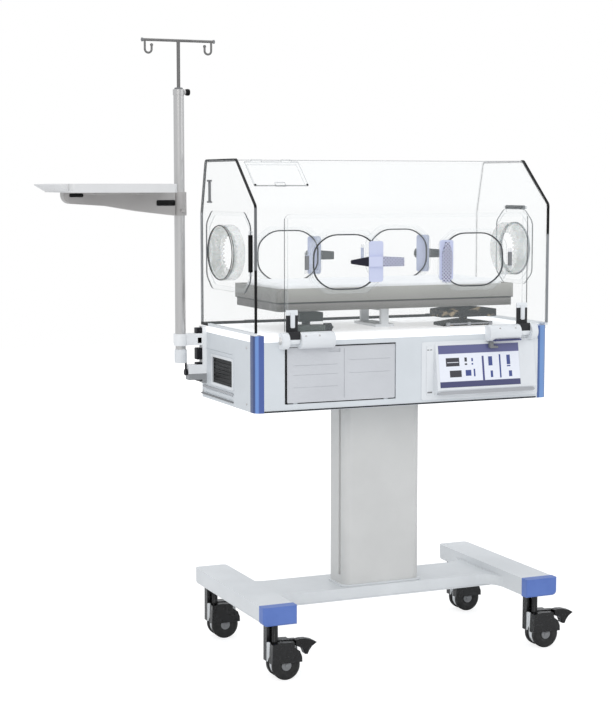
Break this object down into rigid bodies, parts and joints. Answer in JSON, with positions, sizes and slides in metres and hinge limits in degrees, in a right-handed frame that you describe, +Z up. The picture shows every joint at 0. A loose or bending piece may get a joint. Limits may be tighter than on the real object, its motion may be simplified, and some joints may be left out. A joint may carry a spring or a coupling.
{
  "type": "infant incubator",
  "caption": "Clear-hooded infant incubator on a wheeled column stand, with porthole doors, tilting bed, drawer, control console, side pole and tray",
  "frame": {"origin": "on the floor, under the middle of the whole object's footprint", "axes": "+Z up, -Y towards the front panel and console, -X towards the pole and its tray"},
  "size_m": [1.4038, 0.613, 1.749],
  "materials": {
    "white_paint": "satin",
    "blue_plastic": "glossy",
    "white_plastic": "satin",
    "grey_plastic": "matte",
    "dark_plastic": "satin",
    "black_trim": "matte",
    "clear_acrylic": "polished",
    "steel": "brushed",
    "motor_metal": "satin",
    "sheet_fabric": "soft woven",
    "sleeve_film": "matte film",
    "wheel_tread": "matte",
    "display_film": "satin film"
  },
  "bodies": {
    "stand": {"base_frame": "white_paint", "front_leg_caps": "blue_plastic", "column": "white_paint", "chassis_shell": "white_paint", "corner_posts": "blue_plastic", "deck": "white_plastic", "intake_grille": "dark_plastic", "control_bezel": "white_plastic", "control_overlay": "display_film", "fan_motor": "motor_metal", "heater_element": "steel", "hood_hinges": "white_plastic", "panel_hinge_blocks": "white_plastic", "tilt_jacks": "dark_plastic", "pole_tube": "steel", "pole_clamp": "white_plastic"},
    "hood": {"hood_shell": "clear_acrylic", "hood_end_left": "clear_acrylic", "hood_end_right": "clear_acrylic", "hood_edge_trims": "black_trim", "hood_base_frame": "black_trim", "rear_port_frames": "white_plastic"},
    "front_panel": {"front_panel": "clear_acrylic", "panel_arms": "white_plastic", "front_port_frames": "white_plastic"},
    "bed": {"mattress_tray": "grey_plastic", "mattress": "sheet_fabric"},
    "end_door_left": {"end_door_left": "clear_acrylic", "end_sleeve_left": "sleeve_film"},
    "end_door_right": {"end_door_right": "clear_acrylic", "end_sleeve_right": "sleeve_film"},
    "shelf": {"shelf_arm": "white_paint", "shelf_plate": "white_paint"},
    "drawer": {"drawer": "white_plastic"},
    "fan_impeller": {"fan_impeller": "grey_plastic"},
    "rear_port_door_left": {"rear_port_door_left": "clear_acrylic"},
    "rear_port_door_right": {"rear_port_door_right": "clear_acrylic"},
    "hood_flap": {"hood_flap": "clear_acrylic"},
    "panel_latch_left": {"panel_latch_left": "dark_plastic"},
    "panel_latch_right": {"panel_latch_right": "dark_plastic"},
    "front_port_door_left": {"front_port_door_left": "clear_acrylic"},
    "front_port_door_right": {"front_port_door_right": "clear_acrylic"},
    "front_port_latch_left": {"front_port_latch_left": "dark_plastic"},
    "front_port_latch_right": {"front_port_latch_right": "dark_plastic"},
    "tilt_post_left": {"tilt_post_left": "dark_plastic"},
    "tilt_post_right": {"tilt_post_right": "dark_plastic"},
    "tilt_knob": {"tilt_knob": "dark_plastic"},
    "pole_rod": {"pole_rod": "steel"},
    "pole_lock_knob": {"pole_lock_knob": "dark_plastic"},
    "pole_clamp_lever": {"pole_clamp_lever": "dark_plastic"},
    "caster_fl_yoke": {"caster_fl_yoke": "white_plastic"},
    "caster_fl_wheels": {"caster_fl_wheels": "wheel_tread"},
    "caster_fl_brake": {"caster_fl_brake": "grey_plastic"},
    "caster_fr_yoke": {"caster_fr_yoke": "white_plastic"},
    "caster_fr_wheels": {"caster_fr_wheels": "wheel_tread"},
    "caster_fr_brake": {"caster_fr_brake": "grey_plastic"},
    "caster_rl_yoke": {"caster_rl_yoke": "white_plastic"},
    "caster_rl_wheels": {"caster_rl_wheels": "wheel_tread"},
    "caster_rr_yoke": {"caster_rr_yoke": "white_plastic"},
    "caster_rr_wheels": {"caster_rr_wheels": "wheel_tread"}
  },
  "joints": [
    {"name": "caster_fl_swivel", "type": "hinge", "parent": "stand", "child": "caster_fl_yoke", "pos_m": [-0.2289, -0.2635, 0.159], "axis": [0, 0, 1], "continuous": true},
    {"name": "caster_fl_roll", "type": "hinge", "parent": "caster_fl_yoke", "child": "caster_fl_wheels", "pos_m": [-0.2049, -0.2635, 0.04], "axis": [0, 1, 0], "continuous": true},
    {"name": "caster_fl_brake_press", "type": "hinge", "parent": "caster_fl_yoke", "child": "caster_fl_brake", "pos_m": [-0.1769, -0.2835, 0.102], "axis": [0, 1, 0], "range_deg": [0, 8]},
    {"name": "caster_fr_swivel", "type": "hinge", "parent": "stand", "child": "caster_fr_yoke", "pos_m": [0.5891, -0.2635, 0.159], "axis": [0, 0, 1], "continuous": true},
    {"name": "caster_fr_roll", "type": "hinge", "parent": "caster_fr_yoke", "child": "caster_fr_wheels", "pos_m": [0.6131, -0.2635, 0.04], "axis": [0, 1, 0], "continuous": true},
    {"name": "caster_fr_brake_press", "type": "hinge", "parent": "caster_fr_yoke", "child": "caster_fr_brake", "pos_m": [0.6411, -0.2835, 0.102], "axis": [0, 1, 0], "range_deg": [0, 8]},
    {"name": "caster_rl_swivel", "type": "hinge", "parent": "stand", "child": "caster_rl_yoke", "pos_m": [-0.2289, 0.2045, 0.159], "axis": [0, 0, 1], "continuous": true},
    {"name": "caster_rl_roll", "type": "hinge", "parent": "caster_rl_yoke", "child": "caster_rl_wheels", "pos_m": [-0.2049, 0.2045, 0.04], "axis": [0, 1, 0], "continuous": true},
    {"name": "caster_rr_swivel", "type": "hinge", "parent": "stand", "child": "caster_rr_yoke", "pos_m": [0.5891, 0.2045, 0.159], "axis": [0, 0, 1], "continuous": true},
    {"name": "caster_rr_roll", "type": "hinge", "parent": "caster_rr_yoke", "child": "caster_rr_wheels", "pos_m": [0.6131, 0.2045, 0.04], "axis": [0, 1, 0], "continuous": true},
    {"name": "drawer_slide", "type": "slide", "parent": "stand", "child": "drawer", "axis": [0, 1, 0], "range_m": [-0.23, 0]},
    {"name": "fan_spin", "type": "hinge", "parent": "stand", "child": "fan_impeller", "pos_m": [0.3761, 0.0775, 0.85], "axis": [0, 0, 1], "continuous": true},
    {"name": "hood_tilt", "type": "hinge", "parent": "stand", "child": "hood", "pos_m": [0.1861, 0.2045, 0.926], "axis": [-1, 0, 0], "range_deg": [0, 60]},
    {"name": "rear_port_open_left", "type": "hinge", "parent": "hood", "child": "rear_port_door_left", "pos_m": [-0.1139, 0.1968, 1.131], "axis": [0, 0, 1], "range_deg": [0, 110]},
    {"name": "rear_port_open_right", "type": "hinge", "parent": "hood", "child": "rear_port_door_right", "pos_m": [0.2501, 0.1968, 1.131], "axis": [0, 0, 1], "range_deg": [0, 110]},
    {"name": "end_door_open_left", "type": "hinge", "parent": "hood", "child": "end_door_left", "pos_m": [-0.2752, -0.2115, 1.157], "axis": [0, 0, -1], "range_deg": [-110, 0]},
    {"name": "end_door_open_right", "type": "hinge", "parent": "hood", "child": "end_door_right", "pos_m": [0.6474, -0.0275, 1.273], "axis": [0, -1, 0], "range_deg": [0, 110]},
    {"name": "hood_flap_open", "type": "hinge", "parent": "hood", "child": "hood_flap", "pos_m": [-0.1659, -0.0931, 1.40628], "axis": [-1, 0, 0], "range_deg": [0, 100]},
    {"name": "panel_open", "type": "hinge", "parent": "stand", "child": "front_panel", "pos_m": [0.1931, -0.2435, 0.922], "axis": [1, 0, 0], "range_deg": [0, 150]},
    {"name": "panel_latch_slide_left", "type": "slide", "parent": "front_panel", "child": "panel_latch_left", "axis": [0, 0, 1], "range_m": [0, 0.006]},
    {"name": "front_port_open_left", "type": "hinge", "parent": "front_panel", "child": "front_port_door_left", "pos_m": [-0.1219, -0.2373, 1.131], "axis": [0, 0, 1], "range_deg": [-110, 0]},
    {"name": "front_port_latch_turn_left", "type": "hinge", "parent": "front_port_door_left", "child": "front_port_latch_left", "pos_m": [0.0841, -0.2423, 1.131], "axis": [0, 1, 0], "range_deg": [-40, 40]},
    {"name": "panel_latch_slide_right", "type": "slide", "parent": "front_panel", "child": "panel_latch_right", "axis": [0, 0, 1], "range_m": [0, 0.006]},
    {"name": "front_port_open_right", "type": "hinge", "parent": "front_panel", "child": "front_port_door_right", "pos_m": [0.5081, -0.2373, 1.131], "axis": [0, 0, -1], "range_deg": [-110, 0]},
    {"name": "front_port_latch_turn_right", "type": "hinge", "parent": "front_port_door_right", "child": "front_port_latch_right", "pos_m": [0.3021, -0.2423, 1.131], "axis": [0, 1, 0], "range_deg": [-40, 40]},
    {"name": "bed_tilt", "type": "hinge", "parent": "stand", "child": "bed", "pos_m": [0.1861, -0.0175, 0.987], "axis": [0, 1, 0], "range_deg": [-6, 6]},
    {"name": "tilt_lift_left", "type": "slide", "parent": "stand", "child": "tilt_post_left", "axis": [0, 0, 1], "range_m": [-0.02714, 0.02714]},
    {"name": "tilt_lift_right", "type": "slide", "parent": "stand", "child": "tilt_post_right", "axis": [0, 0, 1], "range_m": [-0.02494, 0.02494]},
    {"name": "tilt_knob_turn", "type": "hinge", "parent": "stand", "child": "tilt_knob", "pos_m": [-0.0379, -0.1905, 0.95], "axis": [1, 0, 0], "range_deg": [-145, 145]},
    {"name": "rod_slide", "type": "slide", "parent": "stand", "child": "pole_rod", "axis": [0, 0, 1], "range_m": [-0.08, 0.25]},
    {"name": "rod_lock_turn", "type": "hinge", "parent": "stand", "child": "pole_lock_knob", "pos_m": [-0.3439, 0.1635, 1.601], "axis": [1, 0, 0], "range_deg": [-180, 180]},
    {"name": "shelf_swing", "type": "hinge", "parent": "stand", "child": "shelf", "pos_m": [-0.3439, 0.1635, 1.28], "axis": [0, 0, 1], "range_deg": [-90, 42]},
    {"name": "clamp_lever_turn", "type": "hinge", "parent": "stand", "child": "pole_clamp_lever", "pos_m": [-0.3279, 0.1635, 0.802], "axis": [1, 0, 0], "range_deg": [-60, 60]}
  ],
  "couplings": [
    {"joint": "tilt_lift_left", "follows": "bed_tilt", "m_per_rad": 0.259},
    {"joint": "tilt_lift_right", "follows": "bed_tilt", "m_per_rad": -0.238},
    {"joint": "tilt_knob_turn", "follows": "bed_tilt", "ratio": 24}
  ]
}
